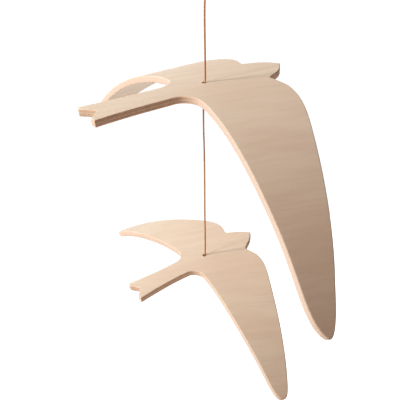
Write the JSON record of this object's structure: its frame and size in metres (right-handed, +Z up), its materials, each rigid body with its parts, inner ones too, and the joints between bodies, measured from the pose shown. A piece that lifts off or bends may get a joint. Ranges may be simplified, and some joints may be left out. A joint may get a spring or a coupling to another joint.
{
  "type": "hanging mobile of two wooden swallows",
  "caption": "Hanging mobile: two swallows cut from bent plywood, one above the other on a single thin cord with a loop to hang it by.",
  "frame": {"origin": "inside top of the hanging loop, where the hook carries the cord", "axes": "+Z up along the plumb line of the cord, +X the way the upper bird flies, +Y to its left"},
  "size_m": [0.132, 0.3149, 0.2402],
  "materials": {
    "birch_plywood": "matte, clear oil",
    "waxed_cord": "waxed"
  },
  "bodies": {
    "root": {"upper_bird": "birch_plywood", "lower_bird": "birch_plywood", "hanging_loop": "waxed_cord", "loop_knot": "waxed_cord", "upper_cord": "waxed_cord", "upper_stop_knot": "waxed_cord", "lower_cord": "waxed_cord", "lower_stop_knot": "waxed_cord"}
  },
  "joints": []
}
